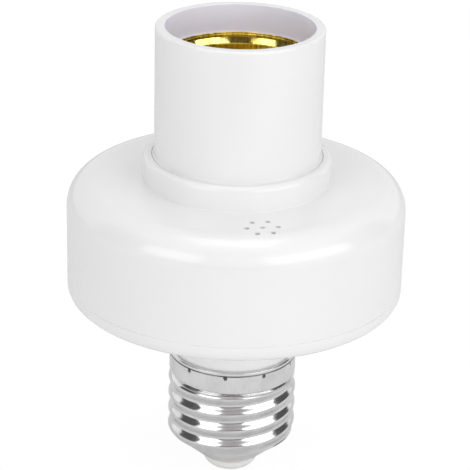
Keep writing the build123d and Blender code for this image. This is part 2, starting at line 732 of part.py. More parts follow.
# Insulating base of the lamp socket, with two ribs beside the contact leaf
with BuildPart() as socket_base:
    extrude(disc(tube_bore_radius - FIT_GAP, base_z), amount=BASE_THICKNESS)
    with BuildSketch(Plane.XY.offset(base_top_z)):
        with Locations((0, rib_offset), (0, -rib_offset)):
            SlotOverall(BASE_RIB_LENGTH, BASE_RIB_THICKNESS)
    extrude(amount=BASE_RIB_HEIGHT)
    with BuildSketch(Plane.XY.offset(base_z)):
        with Locations(
            (0, shell_rivet_y),
            (0, -shell_rivet_y),
            (CONTACT_RIVET_POSITION, 0),
        ):
            Circle(SMALL_RIVET_RADIUS + HOLE_GAP)
    extrude(amount=BASE_THICKNESS, mode=Mode.SUBTRACT)
socket_base.part.label = "socket_base"
export_step(socket_base.part, "parts/socket_base.step")

# Sprung contact leaf: riveted foot, slope, crown that meets the lamp and a turned-down tip
with BuildPart() as centre_contact:
    with BuildLine() as leaf_route:
        FilletPolyline(
            (LEAF_FOOT_START, 0, leaf_z),
            (LEAF_BEND, 0, leaf_z),
            (LEAF_CROWN, 0, leaf_z + LEAF_RISE),
            (LEAF_CROWN + LEAF_TIP_REACH, 0, leaf_z + LEAF_RISE - LEAF_TIP_DROP),
            radius=(LEAF_BEND_RADIUS, LEAF_CROWN_RADIUS),
        )
    with BuildSketch(Plane(origin=leaf_route.line @ 0, z_dir=leaf_route.line % 0, x_dir=(0, 1, 0))):
        Rectangle(LEAF_WIDTH, LEAF_THICKNESS)
    sweep(path=leaf_route.line)
    with BuildSketch(Plane.XY.offset(base_top_z)):
        with Locations((CONTACT_RIVET_POSITION, 0)):
            Circle(SMALL_RIVET_RADIUS + HOLE_GAP)
    extrude(amount=LEAF_THICKNESS, mode=Mode.SUBTRACT)
centre_contact.part.label = "centre_contact"
export_step(centre_contact.part, "parts/centre_contact.step")

# Rivet that clamps the leaf, the base and the tag under it
with BuildPart() as contact_rivet:
    with Locations((CONTACT_RIVET_POSITION, 0, base_z - TAG_THICKNESS)):
        add(
            rivet(
                BASE_THICKNESS + TAG_THICKNESS + LEAF_THICKNESS,
                SMALL_RIVET_RADIUS,
                SMALL_RIVET_HEAD_RADIUS,
                SMALL_RIVET_HEAD_HEIGHT,
            )
        )
contact_rivet.part.label = "contact_rivet"
export_step(contact_rivet.part, "parts/contact_rivet.step")

# Two rivets that clamp the brass shell to the base, one of them with a tag
with BuildPart() as shell_rivets:
    for side in (1, -1):
        with Locations((0, side * shell_rivet_y, base_z - TAG_THICKNESS)):
            add(
                rivet(
                    BASE_THICKNESS + TAG_THICKNESS + SOCKET_FLANGE_THICKNESS,
                    SMALL_RIVET_RADIUS,
                    SMALL_RIVET_HEAD_RADIUS,
                    SMALL_RIVET_HEAD_HEIGHT,
                )
            )
shell_rivets.part.label = "shell_rivets"
export_step(shell_rivets.part, "parts/shell_rivets.step")

# Solder tag for the centre contact
with BuildPart() as contact_tag:
    with BuildSketch(Plane.XY.offset(base_z - TAG_THICKNESS)):
        with Locations((CONTACT_RIVET_POSITION - TAG_WIDTH / 2 + TAG_LENGTH / 2, 0)):
            SlotOverall(TAG_LENGTH, TAG_WIDTH)
        with Locations((CONTACT_RIVET_POSITION, 0)):
            Circle(SMALL_RIVET_RADIUS + HOLE_GAP, mode=Mode.SUBTRACT)
    extrude(amount=TAG_THICKNESS)
contact_tag.part.label = "contact_tag"
export_step(contact_tag.part, "parts/contact_tag.step")

# Solder tag for the brass shell
with BuildPart() as shell_tag:
    with BuildSketch(Plane.XY.offset(base_z - TAG_THICKNESS)):
        with Locations((0, shell_rivet_y + TAG_WIDTH / 2 - TAG_LENGTH / 2)):
            SlotOverall(TAG_LENGTH, TAG_WIDTH, rotation=90)
        with Locations((0, shell_rivet_y)):
            Circle(SMALL_RIVET_RADIUS + HOLE_GAP, mode=Mode.SUBTRACT)
    extrude(amount=TAG_THICKNESS)
shell_tag.part.label = "shell_tag"
export_step(shell_tag.part, "parts/shell_tag.step")

# Plain washer under the shell's other rivet
with BuildPart() as rivet_washer:
    with BuildSketch(Plane.XY.offset(base_z - TAG_THICKNESS)):
        with Locations((0, -shell_rivet_y)):
            Circle(SMALL_RIVET_HEAD_RADIUS)
            Circle(SMALL_RIVET_RADIUS + HOLE_GAP, mode=Mode.SUBTRACT)
    extrude(amount=TAG_THICKNESS)
rivet_washer.part.label = "rivet_washer"
export_step(rivet_washer.part, "parts/rivet_washer.step")

# Centre contact of the cap: a domed head under the tip, a shank and a flare inside
contact_dome_radius = (CAP_CONTACT_RADIUS**2 + CONTACT_DROP**2) / (2 * CONTACT_DROP)
with BuildPart() as cap_contact:
    with BuildSketch(Plane.XZ):
        with BuildLine():
            CenterArc(
                (0, contact_dome_radius),
                contact_dome_radius,
                -90,
                degrees(asin(CAP_CONTACT_RADIUS / contact_dome_radius)),
            )
            Polyline(
                (CAP_CONTACT_RADIUS, tip_z),
                (RIVET_SHANK_RADIUS, tip_z),
                (RIVET_SHANK_RADIUS, tip_z + TIP_FLOOR),
                (RIVET_FLARE_RADIUS, tip_z + TIP_FLOOR),
                (RIVET_FLARE_RADIUS, tip_z + TIP_FLOOR + RIVET_FLARE_HEIGHT),
                (0, tip_z + TIP_FLOOR + RIVET_FLARE_HEIGHT),
                (0, 0),
            )
        make_face()
    revolve(axis=Axis.Z)
cap_contact.part.label = "cap_contact"
export_step(cap_contact.part, "parts/cap_contact.step")

# Circuit board with a middle hole for the leads and holes for the screws
with BuildPart() as circuit_board:
    with BuildSketch(Plane.XY.offset(board_z)):
        Circle(board_radius)
        Circle(BOARD_HOLE_RADIUS, mode=Mode.SUBTRACT)
        with PolarLocations(post_circle_radius, POST_COUNT, POST_PHASE):
            Circle(SCREW_RADIUS + HOLE_GAP, mode=Mode.SUBTRACT)
    extrude(amount=BOARD_THICKNESS)
circuit_board.part.label = "circuit_board"
export_step(circuit_board.part, "parts/circuit_board.step")

# Three screws from below through the dish and the board into the upper housing
with BuildPart() as housing_screws:
    with BuildSketch(Plane.XY.offset(screw_seat_z - SCREW_HEAD_HEIGHT)):
        with PolarLocations(post_circle_radius, POST_COUNT, POST_PHASE):
            Circle(SCREW_HEAD_RADIUS)
    extrude(amount=SCREW_HEAD_HEIGHT)
    fillet(housing_screws.edges().group_by(Axis.Z)[0], radius=SCREW_HEAD_ROUNDING)
    with BuildSketch(Plane.XY.offset(screw_seat_z)):
        with PolarLocations(post_circle_radius, POST_COUNT, POST_PHASE):
            Circle(SCREW_RADIUS)
    extrude(amount=board_top_z + SCREW_REACH - screw_seat_z)
    with BuildSketch(Plane.XY.offset(screw_seat_z - SCREW_HEAD_HEIGHT)):
        with PolarLocations(post_circle_radius, POST_COUNT, POST_PHASE):
            Rectangle(SCREW_RECESS_SPAN, SCREW_RECESS_WIDTH)
            Rectangle(SCREW_RECESS_WIDTH, SCREW_RECESS_SPAN)
    extrude(amount=SCREW_RECESS_DEPTH, mode=Mode.SUBTRACT)
housing_screws.part.label = "housing_screws"
export_step(housing_screws.part, "parts/housing_screws.step")

# Sounder with a port in its top
with BuildPart() as sounder:
    with BuildSketch(Plane.XY.offset(board_top_z)):
        with Locations(polar(sound_radius, SOUND_ANGLE)):
            Circle(SOUNDER_RADIUS)
    extrude(amount=SOUNDER_HEIGHT)
    fillet(sounder.edges().group_by(Axis.Z)[-1], radius=SOUNDER_EDGE)
    with BuildSketch(Plane.XY.offset(board_top_z + SOUNDER_HEIGHT)):
        with Locations(polar(sound_radius, SOUND_ANGLE)):
            Circle(SOUNDER_PORT_RADIUS)
    extrude(amount=-SOUNDER_PORT_DEPTH, mode=Mode.SUBTRACT)
sounder.part.label = "sounder"
export_step(sounder.part, "parts/sounder.step")

# Relay that switches the lamp
with BuildPart() as relay:
    add(facing_axis(boxed_part(RELAY_SIZE, BODY_ROUNDING), RELAY_PLACE))
relay.part.label = "relay"
export_step(relay.part, "parts/relay.step")

# Film capacitor across the supply
with BuildPart() as film_capacitor:
    add(facing_axis(boxed_part(FILM_SIZE, BODY_ROUNDING), FILM_PLACE))
film_capacitor.part.label = "film_capacitor"
export_step(film_capacitor.part, "parts/film_capacitor.step")

# Smoothing capacitor: an upright can with a groove near its foot
with BuildPart() as can_body:
    with BuildSketch():
        Circle(SMOOTHING_RADIUS)
    extrude(amount=SMOOTHING_HEIGHT)
    fillet(can_body.edges().group_by(Axis.Z)[-1], radius=BODY_ROUNDING)
    with BuildSketch(Plane.XY.offset(SMOOTHING_GROOVE_HEIGHT)):
        Circle(SMOOTHING_RADIUS)
        Circle(SMOOTHING_RADIUS - SMOOTHING_GROOVE, mode=Mode.SUBTRACT)
    extrude(amount=2 * SMOOTHING_GROOVE, mode=Mode.SUBTRACT)
with BuildPart() as smoothing_capacitor:
    add(facing_axis(can_body.part, SMOOTHING_PLACE))
smoothing_capacitor.part.label = "smoothing_capacitor"
export_step(smoothing_capacitor.part, "parts/smoothing_capacitor.step")

# Bridge rectifier
with BuildPart() as bridge_rectifier:
    add(on_board(boxed_part(RECTIFIER_SIZE, BODY_ROUNDING / 2), RECTIFIER_PLACE))
bridge_rectifier.part.label = "bridge_rectifier"
export_step(bridge_rectifier.part, "parts/bridge_rectifier.step")

# Fuse resistor in the live line
with BuildPart() as fuse_resistor:
    add(on_board(lying_resistor(FUSE_RADIUS, FUSE_LENGTH, RESISTOR_WAIST), FUSE_PLACE))
fuse_resistor.part.label = "fuse_resistor"
export_step(fuse_resistor.part, "parts/fuse_resistor.step")

# Varistor: an upright disc on two legs
with BuildPart() as varistor_body:
    with BuildSketch(Plane.XZ.offset(-VARISTOR_THICKNESS / 2)):
        with Locations((0, LEG_LENGTH + VARISTOR_RADIUS)):
            Circle(VARISTOR_RADIUS)
    extrude(amount=VARISTOR_THICKNESS)
    fillet(varistor_body.edges().filter_by(GeomType.CIRCLE), radius=VARISTOR_ROUNDING)
    with BuildSketch():
        with Locations((-CHIP_LEG_PITCH, 0), (CHIP_LEG_PITCH, 0)):
            Circle(LEG_RADIUS)
    extrude(amount=LEG_LENGTH + VARISTOR_RADIUS)
with BuildPart() as varistor:
    add(facing_axis(varistor_body.part, VARISTOR_PLACE))
varistor.part.label = "varistor"
export_step(varistor.part, "parts/varistor.step")

# Three resistors in a row
with BuildPart() as resistors:
    for place in RESISTOR_PLACES:
        add(on_board(lying_resistor(RESISTOR_RADIUS, RESISTOR_LENGTH, RESISTOR_WAIST), place))
resistors.part.label = "resistors"
export_step(resistors.part, "parts/resistors.step")

# Voltage regulator
with BuildPart() as regulator:
    add(on_board(three_legged(TRANSISTOR_HEIGHT, TRANSISTOR_RADIUS, TRANSISTOR_FLAT), REGULATOR_PLACE))
regulator.part.label = "regulator"
export_step(regulator.part, "parts/regulator.step")

# Transistor that drives the relay
with BuildPart() as relay_transistor:
    add(
        on_board(
            three_legged(TRANSISTOR_HEIGHT, TRANSISTOR_RADIUS, TRANSISTOR_FLAT),
            RELAY_TRANSISTOR_PLACE,
            RELAY_TRANSISTOR_TURN,
        )
    )
relay_transistor.part.label = "relay_transistor"
export_step(relay_transistor.part, "parts/relay_transistor.step")

# Decoder chip with two rows of legs and a notch that marks its first leg
with BuildPart() as chip_body:
    with BuildSketch(Plane.XY.offset(CHIP_LEG_HEIGHT / 2)):
        Rectangle(DECODER_SIZE[0], DECODER_SIZE[1])
        with Locations((-DECODER_SIZE[0] / 2, 0)):
            Circle(DECODER_NOTCH, mode=Mode.SUBTRACT)
    extrude(amount=DECODER_SIZE[2])
    with BuildSketch():
        with GridLocations(CHIP_LEG_PITCH, DECODER_SIZE[1] + CHIP_LEG_REACH, CHIP_LEG_COUNT, 2):
            Rectangle(CHIP_LEG_WIDTH, CHIP_LEG_REACH)
    extrude(amount=CHIP_LEG_HEIGHT)
with BuildPart() as decoder_chip:
    add(on_board(chip_body.part, DECODER_PLACE))
decoder_chip.part.label = "decoder_chip"
export_step(decoder_chip.part, "parts/decoder_chip.step")

# Crystal in its metal can
with BuildPart() as crystal:
    add(on_board(boxed_part(CRYSTAL_SIZE, BODY_ROUNDING), CRYSTAL_PLACE))
crystal.part.label = "crystal"
export_step(crystal.part, "parts/crystal.step")

# Upright receiver board and the chip on its inner face
receiver_x = RECEIVER_PLACE[0] * board_radius
receiver_y = RECEIVER_PLACE[1] * board_radius
with BuildPart() as receiver_board:
    with BuildSketch(Plane.XY.offset(board_top_z)):
        with Locations((receiver_x, receiver_y)):
            Rectangle(RECEIVER_SIZE[0], RECEIVER_SIZE[1])
    extrude(amount=RECEIVER_SIZE[2])
receiver_board.part.label = "receiver_board"
export_step(receiver_board.part, "parts/receiver_board.step")

with BuildPart() as receiver_chip:
    with BuildSketch(Plane.XY.offset(board_top_z + RECEIVER_CHIP_LIFT)):
        with Locations((receiver_x, receiver_y + (RECEIVER_SIZE[1] + RECEIVER_CHIP_SIZE[1]) / 2)):
            Rectangle(RECEIVER_CHIP_SIZE[0], RECEIVER_CHIP_SIZE[1])
    extrude(amount=RECEIVER_CHIP_SIZE[2])
receiver_chip.part.label = "receiver_chip"
export_step(receiver_chip.part, "parts/receiver_chip.step")

# Antenna wire of the receiver
antenna_x = ANTENNA_FOOT[0] * board_radius
antenna_y = ANTENNA_FOOT[1] * board_radius
antenna_top_z = board_top_z + ANTENNA_HEIGHT
with BuildPart() as antenna_wire:
    add(
        bent_lead(
            (
                (antenna_x, antenna_y, board_top_z),
                (antenna_x, antenna_y, antenna_top_z),
                (antenna_x + ANTENNA_REACH, antenna_y, antenna_top_z),
            ),
            ANTENNA_BEND,
            ANTENNA_RADIUS,
        )
    )
antenna_wire.part.label = "antenna_wire"
export_step(antenna_wire.part, "parts/antenna_wire.step")

# Leads: cap contact to board, cap shell to board, board to the contact tag and to the shell tag
rivet_top_z = tip_z + TIP_FLOOR + RIVET_FLARE_HEIGHT
loop_z = board_top_z + LEAD_LOOP_HEIGHT
tag_z = base_z - TAG_THICKNESS
switched_x = CONTACT_RIVET_POSITION + TAG_LENGTH - TAG_WIDTH
return_y = shell_rivet_y - TAG_LENGTH + TAG_WIDTH
lead_jog_z = (board_top_z + tag_z) / 2

with BuildPart() as live_lead:
    add(
        bent_lead(
            ((0, 0, rivet_top_z), (0, 0, loop_z), (LEAD_LANDING, 0, loop_z), (LEAD_LANDING, 0, board_top_z)),
            LEAD_BEND,
            LEAD_RADIUS,
        )
    )
live_lead.part.label = "live_lead"
export_step(live_lead.part, "parts/live_lead.step")

with BuildPart() as neutral_lead:
    add(
        bent_lead(
            (
                (0, plug_radius, LEAD_PORT_HEIGHT),
                (0, NEUTRAL_LEAD_OFFSET, LEAD_PORT_HEIGHT),
                (0, NEUTRAL_LEAD_OFFSET, loop_z),
                (-LEAD_LANDING, NEUTRAL_LEAD_OFFSET, loop_z),
                (-LEAD_LANDING, NEUTRAL_LEAD_OFFSET, board_top_z),
            ),
            LEAD_BEND,
            LEAD_RADIUS,
        )
    )
neutral_lead.part.label = "neutral_lead"
export_step(neutral_lead.part, "parts/neutral_lead.step")

with BuildPart() as switched_lead:
    add(
        bent_lead(
            (
                (switched_x, SWITCHED_LEAD_FOOT, board_top_z),
                (switched_x, SWITCHED_LEAD_FOOT, lead_jog_z),
                (switched_x, 0, lead_jog_z),
                (switched_x, 0, tag_z),
            ),
            LEAD_BEND,
            LEAD_RADIUS,
        )
    )
switched_lead.part.label = "switched_lead"
export_step(switched_lead.part, "parts/switched_lead.step")

with BuildPart() as return_lead:
    add(
        bent_lead(
            (
                (RETURN_LEAD_FOOT, return_y, board_top_z),
                (RETURN_LEAD_FOOT, return_y, lead_jog_z - RETURN_LEAD_FOOT / 2),
                (0, return_y, lead_jog_z + RETURN_LEAD_FOOT / 2),
                (0, return_y, tag_z),
            ),
            LEAD_BEND,
            LEAD_RADIUS,
        )
    )
return_lead.part.label = "return_lead"
export_step(return_lead.part, "parts/return_lead.step")
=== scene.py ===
from math import cos, pi, radians, sin, tau

import bmesh
import bpy
from mathutils import Matrix, Vector


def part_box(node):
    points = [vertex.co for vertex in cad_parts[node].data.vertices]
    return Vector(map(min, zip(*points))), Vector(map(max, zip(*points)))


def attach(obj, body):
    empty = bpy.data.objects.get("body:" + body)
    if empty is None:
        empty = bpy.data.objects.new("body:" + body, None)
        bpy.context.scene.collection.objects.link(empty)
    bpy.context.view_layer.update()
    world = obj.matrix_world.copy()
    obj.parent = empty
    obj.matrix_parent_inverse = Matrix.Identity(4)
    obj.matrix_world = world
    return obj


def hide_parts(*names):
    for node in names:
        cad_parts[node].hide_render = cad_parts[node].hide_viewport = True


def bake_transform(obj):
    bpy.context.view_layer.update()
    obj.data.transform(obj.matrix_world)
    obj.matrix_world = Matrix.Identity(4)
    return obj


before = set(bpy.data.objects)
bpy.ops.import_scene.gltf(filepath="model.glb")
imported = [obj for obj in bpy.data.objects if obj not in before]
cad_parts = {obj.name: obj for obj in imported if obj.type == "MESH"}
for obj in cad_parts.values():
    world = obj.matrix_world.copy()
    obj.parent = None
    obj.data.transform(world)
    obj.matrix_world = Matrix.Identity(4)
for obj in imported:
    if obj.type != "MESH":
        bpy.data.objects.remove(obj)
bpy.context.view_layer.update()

# Camera of the photograph: a long lens that looks down at the lamp holder from the side of its
# sound holes, held a little askew.
view_target = Vector((-0.00009, 0.0, 0.05238))
view_distance = 0.39637
view_elevation = radians(23.27)
view_roll = radians(1.42)
camera_data = bpy.data.cameras.new("camera")
camera_data.sensor_width = 36.0
camera_data.lens = 152.65
camera = bpy.data.objects.new("camera", camera_data)
view_way = Vector((0.0, -cos(view_elevation), sin(view_elevation)))
camera.location = view_target + view_distance * view_way
aim = (view_target - camera.location).to_track_quat("-Z", "Y").to_matrix()
camera.rotation_euler = (aim @ Matrix.Rotation(view_roll, 3, "Z")).to_euler()
bpy.context.scene.collection.objects.link(camera)
bpy.context.scene.camera = camera
bpy.context.scene.view_settings.view_transform = "Standard"

# Studio light: a white room, a soft box at each side of the camera and one overhead. Boards
# that only reflections show give the plated cap its dark ends, grey middle and fine dark lines.
light_centre = Vector((0.0, 0.0, 0.05))


def toward(azimuth, elevation, distance):
    """Point at a distance from the object, azimuth from the camera's side towards +X."""
    a = radians(azimuth)
    e = radians(elevation)
    return light_centre + distance * Vector((sin(a) * cos(e), -cos(a) * cos(e), sin(e)))


def facing_centre(thing, place):
    thing.location = place
    thing.rotation_euler = (light_centre - place).to_track_quat("-Z", "Y").to_euler()
    bpy.context.scene.collection.objects.link(thing)


def soft_box(name, azimuth, elevation, distance, width, height, radiance):
    data = bpy.data.lights.new(name, "AREA")
    data.shape = "RECTANGLE"
    data.size = width
    data.size_y = height
    data.energy = radiance * pi * width * height
    facing_centre(bpy.data.objects.new(name, data), toward(azimuth, elevation, distance))


def node(tree, kind, values=None, **settings):
    """New node in a tree, with settings and the values of its unlinked sockets."""
    made = tree.nodes.new(kind)
    for key, value in settings.items():
        setattr(made, key, value)
    for key, value in (values or {}).items():
        made.inputs[key].default_value = value
    return made


def wire(tree, *pairs):
    """Links outputs to inputs in a tree."""
    for source, target in pairs:
        tree.links.new(source, target)


def mesh_of(name, shape):
    """Mesh of a finished shape, whose working copy is freed."""
    mesh = bpy.data.meshes.new(name)
    shape.to_mesh(mesh)
    shape.free()
    return mesh


def card(name, azimuth, elevation, distance, width, height, level, tint=(1.0, 1.0, 1.0)):
    """Plainly glowing board that only reflections show."""
    shape = bmesh.new()
    bmesh.ops.create_grid(shape, x_segments=1, y_segments=1, size=0.5)
    bmesh.ops.scale(shape, vec=(width, height, 1.0), verts=shape.verts)
    board = bpy.data.objects.new(name, mesh_of(name, shape))
    paint = bpy.data.materials.new(name)
    paint.use_nodes = True
    tree = paint.node_tree
    tree.nodes.remove(tree.nodes["Principled BSDF"])
    glow = node(tree, "ShaderNodeEmission", {"Color": (*(level * part for part in tint), 1.0)})
    wire(tree, (glow.outputs[0], tree.nodes["Material Output"].inputs["Surface"]))
    board.data.materials.append(paint)
    board.visible_camera = False
    board.visible_diffuse = False
    board.visible_shadow = False
    board.visible_transmission = False
    facing_centre(board, toward(azimuth, elevation, distance))


soft_box("left_box", -41.0, 21.0, 0.8, 0.52, 0.46, 1.88)
soft_box("right_box", 50.0, 21.0, 0.8, 0.86, 0.46, 1.98)
soft_box("top_box", 0.0, 88.0, 0.8, 0.46, 0.46, 2.1)
card("left_card", -84.0, 20.0, 0.75, 0.52, 0.62, 0.10)
card("right_card", 100.0, 20.0, 0.75, 0.52, 0.62, 0.10)
card("front_card", -1.0, 27.0, 0.95, 0.80, 0.82, 0.50, (1.0, 0.95, 0.98))
card("left_shade", -41.0, 37.0, 0.70, 0.46, 0.09, 0.52)
card("right_shade", 50.0, 37.0, 0.70, 0.75, 0.09, 0.52)
card("table_edge", -1.0, -4.5, 0.22, 0.20, 0.042, 0.02)
card("camera_back", 0.0, 41.3, 0.20, 0.115, 0.060, 0.15, (1.0, 0.84, 0.58))

room = bpy.data.worlds.new("room")
room.use_nodes = True
bpy.context.scene.world = room
room_tree = room.node_tree
room_light = room_tree.nodes["Background"]
room_light.inputs["Color"].default_value = (1.0, 1.0, 1.0, 1.0)
rays = node(room_tree, "ShaderNodeLightPath")
seen_rays = node(room_tree, "ShaderNodeMath", operation="MAXIMUM")
clear_rays = node(room_tree, "ShaderNodeMath", operation="MAXIMUM")
room_level = node(room_tree, "ShaderNodeMapRange", {"To Min": 0.52, "To Max": 1.0})
wire(
    room_tree,
    (rays.outputs["Is Camera Ray"], seen_rays.inputs[0]),
    (rays.outputs["Is Glossy Ray"], seen_rays.inputs[1]),
    (seen_rays.outputs[0], clear_rays.inputs[0]),
    (rays.outputs["Is Transmission Ray"], clear_rays.inputs[1]),
    (clear_rays.outputs[0], room_level.inputs["Value"]),
    (room_level.outputs["Result"], room_light.inputs["Strength"]),
)

# Floor: a wide sheet of white paper, a hair below the contact that stands on it. It glows by
# itself where the camera sees it, so that it stays white there and still takes the shadow.
floor_half = 3.0
floor_drop = 0.0001
floor_shape = bmesh.new()
bmesh.ops.create_grid(floor_shape, x_segments=1, y_segments=1, size=floor_half)
bmesh.ops.translate(floor_shape, vec=(0.0, 0.0, -floor_drop), verts=floor_shape.verts)
floor = bpy.data.objects.new("floor", mesh_of("floor", floor_shape))
bpy.context.scene.collection.objects.link(floor)
paper = bpy.data.materials.new("paper")
paper.use_nodes = True
paper_tree = paper.node_tree
paper_shader = paper_tree.nodes["Principled BSDF"]
paper_shader.inputs["Base Color"].default_value = (0.9, 0.9, 0.9, 1.0)
paper_shader.inputs["Roughness"].default_value = 0.95
paper_shader.inputs["Specular IOR Level"].default_value = 0.0
paper_glow = node(paper_tree, "ShaderNodeEmission", {"Strength": 1.05})
paper_rays = node(paper_tree, "ShaderNodeLightPath")
paper_share = node(paper_tree, "ShaderNodeMath", {1: 0.88}, operation="MULTIPLY")
paper_mix = node(paper_tree, "ShaderNodeMixShader")
wire(
    paper_tree,
    (paper_rays.outputs["Is Camera Ray"], paper_share.inputs[0]),
    (paper_share.outputs[0], paper_mix.inputs["Fac"]),
    (paper_shader.outputs[0], paper_mix.inputs[1]),
    (paper_glow.outputs[0], paper_mix.inputs[2]),
    (paper_mix.outputs[0], paper_tree.nodes["Material Output"].inputs["Surface"]),
)
floor.data.materials.append(paper)

# Centre contact of the screw cap: a turned brass rivet, domed below the white tip and flared
# inside it. Its metal is the first to need the effect of drawn, lightly tarnished metal.


def sockets_of(group, sockets):
    """Named sockets of a node group: direction, type, name and default."""
    for direction, kind, name, default in sockets:
        made = group.interface.new_socket(name=name, in_out=direction, socket_type=kind)
        if default is not None:
            made.default_value = default


worked_metal = bpy.data.node_groups.new("worked_metal", "ShaderNodeTree")
sockets_of(
    worked_metal,
    (
        ("INPUT", "NodeSocketColor", "Bright", (0.8, 0.8, 0.8, 1.0)),
        ("INPUT", "NodeSocketColor", "Dull", (0.6, 0.6, 0.6, 1.0)),
        ("INPUT", "NodeSocketFloat", "Patch Scale", 300.0),
        ("INPUT", "NodeSocketFloat", "Streak Scale", 4000.0),
        ("INPUT", "NodeSocketFloat", "Streak Shade", 0.0),
        ("INPUT", "NodeSocketFloat", "Roughness", 0.2),
        ("INPUT", "NodeSocketFloat", "Roughness Spread", 0.1),
        ("INPUT", "NodeSocketFloat", "Height", 0.000004),
        ("OUTPUT", "NodeSocketColor", "Color", None),
        ("OUTPUT", "NodeSocketFloat", "Roughness", None),
        ("OUTPUT", "NodeSocketVector", "Normal", None),
    ),
)
metal_in = node(worked_metal, "NodeGroupInput")
metal_out = node(worked_metal, "NodeGroupOutput")
metal_place = node(worked_metal, "ShaderNodeTexCoord")
metal_patches = node(worked_metal, "ShaderNodeTexNoise", {"Detail": 4.0, "Roughness": 0.6})
metal_flat = node(worked_metal, "ShaderNodeMapping", {"Scale": (1.0, 1.0, 0.06)})
metal_streaks = node(worked_metal, "ShaderNodeTexNoise", {"Detail": 2.0, "Roughness": 0.5})
metal_mask = node(worked_metal, "ShaderNodeMapRange", {"From Min": 0.35, "From Max": 0.68})
metal_colour = node(worked_metal, "ShaderNodeMix", data_type="RGBA")
metal_lines = node(worked_metal, "ShaderNodeMapRange", {"From Min": 0.42, "From Max": 0.62})
metal_shade = node(worked_metal, "ShaderNodeMath", operation="MULTIPLY")
metal_level = node(worked_metal, "ShaderNodeMath", {0: 1.0}, operation="SUBTRACT")
metal_shaded = node(worked_metal, "ShaderNodeVectorMath", operation="SCALE")
metal_blur = node(worked_metal, "ShaderNodeMath", operation="MULTIPLY_ADD")
metal_bump = node(worked_metal, "ShaderNodeBump", {"Strength": 1.0})
wire(
    worked_metal,
    (metal_place.outputs["Object"], metal_patches.inputs["Vector"]),
    (metal_in.outputs["Patch Scale"], metal_patches.inputs["Scale"]),
    (metal_place.outputs["Object"], metal_flat.inputs["Vector"]),
    (metal_flat.outputs[0], metal_streaks.inputs["Vector"]),
    (metal_in.outputs["Streak Scale"], metal_streaks.inputs["Scale"]),
    (metal_patches.outputs["Fac"], metal_mask.inputs["Value"]),
    (metal_mask.outputs["Result"], metal_colour.inputs["Factor"]),
    (metal_in.outputs["Bright"], metal_colour.inputs["A"]),
    (metal_in.outputs["Dull"], metal_colour.inputs["B"]),
    (metal_mask.outputs["Result"], metal_blur.inputs[0]),
    (metal_in.outputs["Roughness Spread"], metal_blur.inputs[1]),
    (metal_in.outputs["Roughness"], metal_blur.inputs[2]),
    (metal_streaks.outputs["Fac"], metal_bump.inputs["Height"]),
    (metal_in.outputs["Height"], metal_bump.inputs["Distance"]),
    (metal_streaks.outputs["Fac"], metal_lines.inputs["Value"]),
    (metal_lines.outputs["Result"], metal_shade.inputs[0]),
    (metal_in.outputs["Streak Shade"], metal_shade.inputs[1]),
    (metal_shade.outputs[0], metal_level.inputs[1]),
    (metal_colour.outputs["Result"], metal_shaded.inputs[0]),
    (metal_level.outputs[0], metal_shaded.inputs["Scale"]),
    (metal_shaded.outputs[0], metal_out.inputs["Color"]),
    (metal_blur.outputs[0], metal_out.inputs["Roughness"]),
    (metal_bump.outputs[0], metal_out.inputs["Normal"]),
)


def finish_from(name, group, values, **plain):
    """Material whose colour, roughness and normal come from an effect's group."""
    made = bpy.data.materials.new(name)
    made.use_nodes = True
    shader = made.node_tree.nodes["Principled BSDF"]
    for key, value in plain.items():
        shader.inputs[key.replace("_", " ")].default_value = value
    effect = node(made.node_tree, "ShaderNodeGroup", node_tree=group)
    for key, value in values.items():
        effect.inputs[key].default_value = value
    wire(
        made.node_tree,
        (effect.outputs["Color"], shader.inputs["Base Color"]),
        (effect.outputs["Roughness"], shader.inputs["Roughness"]),
        (effect.outputs["Normal"], shader.inputs["Normal"]),
    )
    return made


def inside(material):
    """Tree, shader and effect of a finish, for what is added to it."""
    tree = material.node_tree
    return tree, tree.nodes["Principled BSDF"], next(n for n in tree.nodes if n.type == "GROUP")


def dress(material, *names):
    """Puts a material on CAD nodes."""
    for name in names:
        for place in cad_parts[name].material_slots:
            place.material = material


turned_brass = finish_from(
    "turned_brass",
    worked_metal,
    {
        "Bright": (0.83, 0.62, 0.24, 1.0),
        "Dull": (0.60, 0.41, 0.15, 1.0),
        "Patch Scale": 420.0,
        "Streak Scale": 5200.0,
        "Roughness": 0.22,
        "Roughness Spread": 0.16,
    },
    Metallic=1.0,
)
dress(turned_brass, "cap_contact", "contact_rivet", "contact_tag")
dress(turned_brass, "shell_rivets", "shell_tag", "rivet_washer")

# Screw cap: one nickel-plated sheet, drawn to a cup with a sloping foot, a knuckle thread rolled
# into it, a plain skirt, a turned-in lip over a crease, and punch marks that hold it on the neck.
thread_pitch = 0.003629
turn_steps = 160
same = 1e-6


def round_corner(shape, vert, rounding, steps):
    """Rounds one corner of an outline."""
    bmesh.ops.bevel(
        shape,
        geom=[vert],
        offset=rounding,
        segments=steps,
        profile=0.5,
        affect="VERTICES",
        material=-1,
    )


def ring_profile(shape, corners):
    """Closed outline in the XZ plane from corners of radius, height, rounding and steps."""
    verts = [shape.verts.new((r, 0.0, z)) for r, z, _, _ in corners]
    for a, b in zip(verts, verts[1:] + verts[:1]):
        shape.edges.new((a, b))
    for vert, (_, _, rounding, steps) in zip(verts, corners):
        if rounding:
            round_corner(shape, vert, rounding, steps)


def divide_wall(shape, wall, low, high, cuts):
    """Divides the straight line of a wall, so that a thread can be rolled into it."""

    def on_wall(vert):
        return abs(vert.co.x - wall(vert.co.z)) < same and low - same < vert.co.z < high + same

    line = [edge for edge in shape.edges if all(on_wall(vert) for vert in edge.verts)]
    bmesh.ops.subdivide_edges(shape, edges=line, cuts=cuts)


